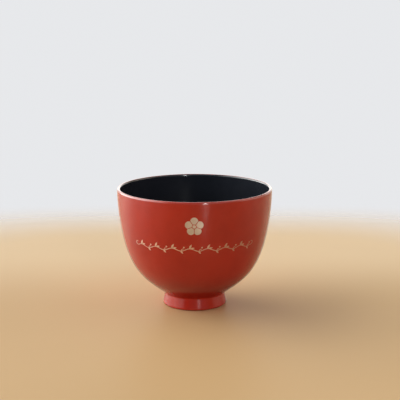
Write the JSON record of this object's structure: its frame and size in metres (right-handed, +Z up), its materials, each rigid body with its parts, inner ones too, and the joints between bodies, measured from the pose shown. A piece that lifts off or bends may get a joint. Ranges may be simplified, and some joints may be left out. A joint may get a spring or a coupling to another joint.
{
  "type": "rice bowl",
  "caption": "Small lacquered rice bowl, red outside and black inside, on a short flared foot ring, with a foil blossom above a foil vine.",
  "frame": {"origin": "on the table, at the centre of the foot ring", "axes": "+Z up along the bowl's axis; -Y faces the user, through the middle of the prints; +X to the user's right"},
  "size_m": [0.1, 0.1, 0.0772],
  "materials": {
    "turned_wood": "turned, sanded",
    "undercoat": "matt, sanded",
    "red_lacquer": "semi-gloss lacquer",
    "black_lacquer": "semi-gloss lacquer",
    "base_lacquer": "satin lacquer",
    "blossom_foil": "satin champagne foil",
    "vine_foil": "satin champagne foil"
  },
  "bodies": {
    "root": {"wood_core": "turned_wood", "undercoat": "undercoat", "outer_lacquer": "red_lacquer", "inner_lacquer": "black_lacquer", "foot_base_lacquer": "base_lacquer", "blossom_foil": "blossom_foil", "vine_foil": "vine_foil"}
  },
  "joints": []
}
